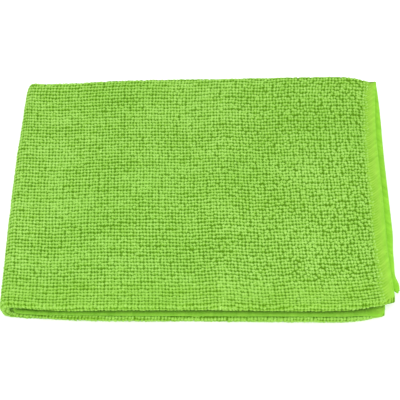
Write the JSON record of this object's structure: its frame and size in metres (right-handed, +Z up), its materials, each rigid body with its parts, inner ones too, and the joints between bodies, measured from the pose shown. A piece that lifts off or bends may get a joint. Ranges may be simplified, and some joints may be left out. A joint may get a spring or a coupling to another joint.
{
  "type": "folded microfibre cloth",
  "caption": "Square terry-knit cleaning cloth with an overlocked hem all round, folded into a flat rectangular stack that lies on a surface.",
  "frame": {"origin": "centre of the footprint, on the surface the folded cloth rests on", "axes": "+X to the right, from the half fold to the hems; +Y to the back; +Z up"},
  "size_m": [0.2052, 0.1637, 0.0143],
  "materials": {
    "terry_knit": "matt bright green terry knit of small puffy loops",
    "hem_stitching": "smooth yellow-green overlock thread along the cut edges"
  },
  "bodies": {
    "root": {"cloth": "terry_knit"}
  },
  "joints": []
}
